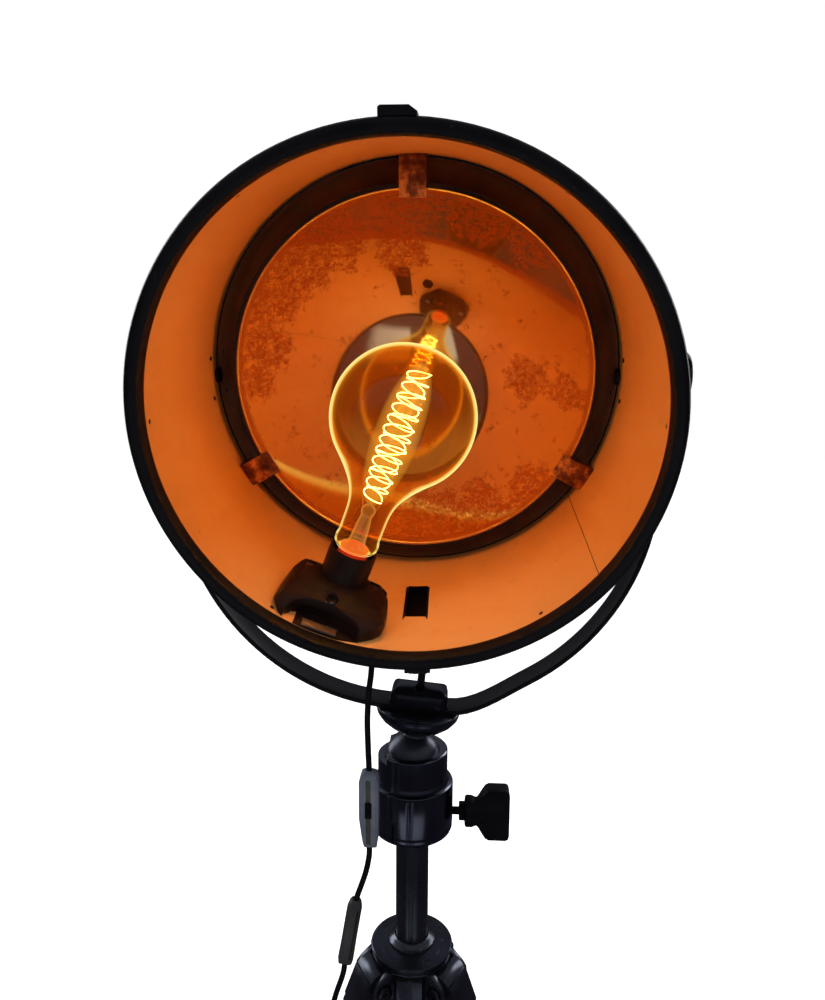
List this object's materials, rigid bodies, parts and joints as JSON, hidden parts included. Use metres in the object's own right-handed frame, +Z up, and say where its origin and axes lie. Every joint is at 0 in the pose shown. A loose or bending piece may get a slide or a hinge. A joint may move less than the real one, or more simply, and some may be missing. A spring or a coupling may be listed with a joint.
{
  "type": "tripod_spotlight_floor_lamp",
  "caption": "Tripod floor lamp: a drum spotlight with aged mirror and spiral-filament bulb, in a yoke on a ball head above a sliding column.",
  "frame": {"origin": "on the floor, under the middle of the object's footprint", "axes": "+Z up, -Y is the front that the drum opens towards, +X is the viewer's right"},
  "size_m": [0.8176, 0.7124, 1.7774],
  "materials": {
    "black_metal": "semi-matt black paint, worn",
    "drum_paint": "cream enamel inside, black outside",
    "yoke_metal": "semi-matt black paint on steel",
    "mirror": "aged silvered glass with brown spots",
    "clip_metal": "brown, heat-stained",
    "bakelite": "dark brown moulding",
    "strip_metal": "dull plated strip",
    "steel": "plated steel",
    "brass": "dull brass",
    "bulb_glass": "clear, faintly amber",
    "stem_glass": "clear",
    "glow_wire": "glowing wire",
    "head_metal": "satin black anodised, grey highlights",
    "ball_metal": "dark, polished",
    "tripod_metal": "satin dark grey",
    "rubber": "matt",
    "cord_rubber": "matt black cord",
    "grey_plastic": "bluish grey",
    "black_plastic": "matt"
  },
  "bodies": {
    "tripod": {"shoulder_casting": "tripod_metal", "shoulder_ring": "tripod_metal", "hinge_bolts": "steel", "cord_lower": "cord_rubber", "cord_coil": "cord_rubber", "plug_body": "black_plastic", "plug_pins": "steel"},
    "button": {"switch_button": "black_plastic"},
    "collar": {"column_collar": "tripod_metal"},
    "column": {"column_tube": "tripod_metal", "head_housing": "head_metal", "head_cup": "head_metal"},
    "lock": {"lock_knob": "black_plastic"},
    "pan": {"ball_saddle": "steel"},
    "head": {"ball_stem": "ball_metal", "seat_disc": "head_metal", "yoke_bar": "yoke_metal", "yoke_block": "head_metal", "yoke_stud": "yoke_metal", "cord_upper": "cord_rubber", "switch_body": "grey_plastic", "cord_middle": "cord_rubber", "inline_box": "grey_plastic"},
    "drum": {"drum_barrel": "drum_paint", "front_ring": "black_metal", "ring_lugs": "black_metal", "rear_pan": "black_metal", "slot_hood": "black_metal", "mirror_glass": "mirror", "mirror_clips": "clip_metal", "clip_screws": "steel", "case_screws": "yoke_metal", "trunnion_pins": "yoke_metal", "lampholder_base": "bakelite", "base_screws": "steel", "base_strip": "strip_metal", "lampholder_sleeve": "bakelite", "socket_shell": "brass", "bulb_glass": "bulb_glass", "bulb_cap": "brass", "bulb_stem": "stem_glass", "filament": "glow_wire", "cable_gland": "black_plastic"},
    "knob_l": {"knob_left": "black_plastic"},
    "knob_r": {"knob_right": "black_plastic"},
    "leg_1": {"leg_head_1": "tripod_metal", "leg_tube_1": "tripod_metal"},
    "lock_1": {"leg_lock_1": "black_plastic"},
    "slide_1": {"leg_slide_1": "tripod_metal", "foot_1": "rubber"},
    "leg_2": {"leg_head_2": "tripod_metal", "leg_tube_2": "tripod_metal"},
    "lock_2": {"leg_lock_2": "black_plastic"},
    "slide_2": {"leg_slide_2": "tripod_metal", "foot_2": "rubber"},
    "leg_3": {"leg_head_3": "tripod_metal", "leg_tube_3": "tripod_metal"},
    "lock_3": {"leg_lock_3": "black_plastic"},
    "slide_3": {"leg_slide_3": "tripod_metal", "foot_3": "rubber"}
  },
  "joints": [
    {"name": "collar_turn", "type": "hinge", "parent": "tripod", "child": "collar", "pos_m": [0, -0.11332, 0.941], "axis": [0, 0, 1], "range_deg": [-60, 60]},
    {"name": "column_lift", "type": "slide", "parent": "tripod", "child": "column", "axis": [0, 0, 1], "range_m": [-0.07, 0.3], "deforming": ["cord_lower"]},
    {"name": "lock_turn", "type": "hinge", "parent": "column", "child": "lock", "pos_m": [0.08, -0.11332, 1.1025], "axis": [1, 0, 0], "range_deg": [-20, 330]},
    {"name": "head_pan", "type": "hinge", "parent": "column", "child": "pan", "pos_m": [0, -0.11332, 1.164], "axis": [0, 0, 1], "range_deg": [-135, 100], "deforming": ["cord_lower"]},
    {"name": "head_lean", "type": "hinge", "parent": "pan", "child": "head", "pos_m": [0, -0.11332, 1.164], "axis": [0, 1, 0], "range_deg": [-30, 30], "deforming": ["cord_lower"]},
    {"name": "drum_tilt", "type": "hinge", "parent": "head", "child": "drum", "pos_m": [0, -0.11332, 1.57], "axis": [1, 0, 0], "range_deg": [-70, 60], "deforming": ["cord_upper"]},
    {"name": "knob_left_turn", "type": "hinge", "parent": "drum", "child": "knob_l", "pos_m": [-0.25, -0.11332, 1.57], "axis": [1, 0, 0], "range_deg": [-330, 20]},
    {"name": "knob_right_turn", "type": "hinge", "parent": "drum", "child": "knob_r", "pos_m": [0.25, -0.11332, 1.57], "axis": [1, 0, 0], "range_deg": [-20, 330]},
    {"name": "leg_1_fold", "type": "hinge", "parent": "tripod", "child": "leg_1", "pos_m": [-0.03897, -0.13582, 0.913], "axis": [0.5, -0.866, 0], "range_deg": [0, 24]},
    {"name": "leg_1_lock_turn", "type": "hinge", "parent": "leg_1", "child": "lock_1", "pos_m": [-0.22214, -0.24158, 0.43796], "axis": [-0.3522, -0.2034, -0.9135], "range_deg": [-60, 60]},
    {"name": "leg_1_length", "type": "slide", "parent": "leg_1", "child": "slide_1", "axis": [-0.3522, -0.2034, -0.9135], "range_m": [-0.3, 0.12]},
    {"name": "leg_2_fold", "type": "hinge", "parent": "tripod", "child": "leg_2", "pos_m": [0.03897, -0.13582, 0.913], "axis": [0.5, 0.866, 0], "range_deg": [0, 24]},
    {"name": "leg_2_lock_turn", "type": "hinge", "parent": "leg_2", "child": "lock_2", "pos_m": [0.22214, -0.24158, 0.43796], "axis": [0.3522, -0.2034, -0.9135], "range_deg": [-60, 60]},
    {"name": "leg_2_length", "type": "slide", "parent": "leg_2", "child": "slide_2", "axis": [0.3522, -0.2034, -0.9135], "range_m": [-0.3, 0.12]},
    {"name": "leg_3_fold", "type": "hinge", "parent": "tripod", "child": "leg_3", "pos_m": [0, -0.06832, 0.913], "axis": [-1, 0, 0], "range_deg": [0, 24]},
    {"name": "leg_3_lock_turn", "type": "hinge", "parent": "leg_3", "child": "lock_3", "pos_m": [0, 0.14318, 0.43796], "axis": [0, 0.4067, -0.9135], "range_deg": [-60, 60]},
    {"name": "leg_3_length", "type": "slide", "parent": "leg_3", "child": "slide_3", "axis": [0, 0.4067, -0.9135], "range_m": [-0.3, 0.12]},
    {"name": "switch_press", "type": "slide", "parent": "head", "child": "button", "axis": [0, 1, 0], "range_m": [0, 0.002], "stiffness_N_per_m": 400, "springref_m": -0.0005}
  ]
}
